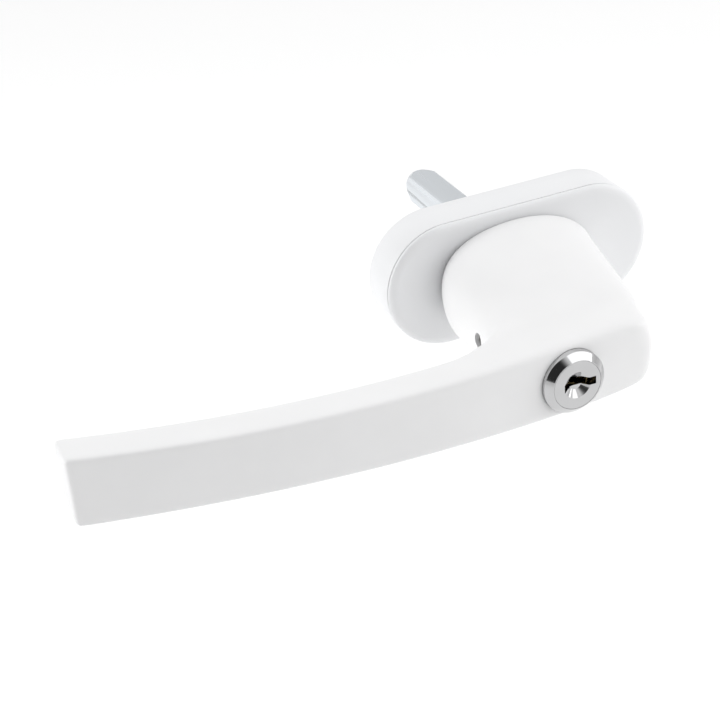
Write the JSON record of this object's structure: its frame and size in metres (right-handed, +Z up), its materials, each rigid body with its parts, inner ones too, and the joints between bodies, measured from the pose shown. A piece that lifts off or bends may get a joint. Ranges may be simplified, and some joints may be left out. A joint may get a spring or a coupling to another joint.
{
  "type": "keyed window handle",
  "caption": "Lockable window handle: bowed lever grip on an oval rosette, with a keyed cylinder in the head and a square spindle behind.",
  "frame": {"origin": "centre of the rosette's mounting face, on the spindle axis", "axes": "+Y into the sash along the spindle, -Y towards the room, grip along -X at rest, +Z up"},
  "size_m": [0.1519, 0.1084, 0.03],
  "materials": {
    "white_coat": "satin",
    "white_plastic": "satin",
    "zinc_plate": "satin",
    "bush_plastic": "matte",
    "spring_steel": "satin",
    "spindle_steel": "satin",
    "chrome_plate": "polished",
    "pin_steel": "satin",
    "brass": "satin",
    "zinc_alloy": "satin"
  },
  "bodies": {
    "rosette": {"rosette_body": "white_plastic", "back_plate": "zinc_plate", "bearing_bush": "bush_plastic", "thrust_washer": "bush_plastic", "detent_spring_upper": "spring_steel", "detent_spring_lower": "spring_steel"},
    "cap": {"rosette_cap": "white_plastic"},
    "lever": {"lever": "white_coat", "spindle": "spindle_steel", "detent_block": "zinc_plate", "lever_clip": "spring_steel", "cylinder_housing": "chrome_plate", "cylinder_pin": "pin_steel"},
    "plug": {"plug": "chrome_plate", "wafer_1": "brass", "wafer_2": "brass", "wafer_3": "brass", "wafer_4": "brass", "wafer_5": "brass", "wafer_springs": "spring_steel", "plug_clip": "spring_steel", "drive_barrel": "zinc_alloy"},
    "bolt": {"locking_bolt": "spindle_steel", "bolt_follower": "pin_steel"}
  },
  "joints": [
    {"name": "handle_turn", "type": "hinge", "parent": "rosette", "child": "lever", "pos_m": [0, 0, 0], "axis": [0, 1, 0], "range_deg": [0, 180], "deforming": ["detent_spring_upper", "detent_spring_lower"]},
    {"name": "cap_turn", "type": "hinge", "parent": "rosette", "child": "cap", "pos_m": [0, 0, 0], "axis": [0, 1, 0], "range_deg": [0, 90]},
    {"name": "key_turn", "type": "hinge", "parent": "lever", "child": "plug", "pos_m": [-0.0159, -0.0644, 0], "axis": [0, 1, 0], "range_deg": [0, 90]},
    {"name": "bolt_slide", "type": "slide", "parent": "lever", "child": "bolt", "axis": [0, 1, 0], "range_m": [0, 0.005]}
  ],
  "couplings": [
    {"joint": "bolt_slide", "follows": "key_turn", "m_per_rad": 0.0031831}
  ]
}
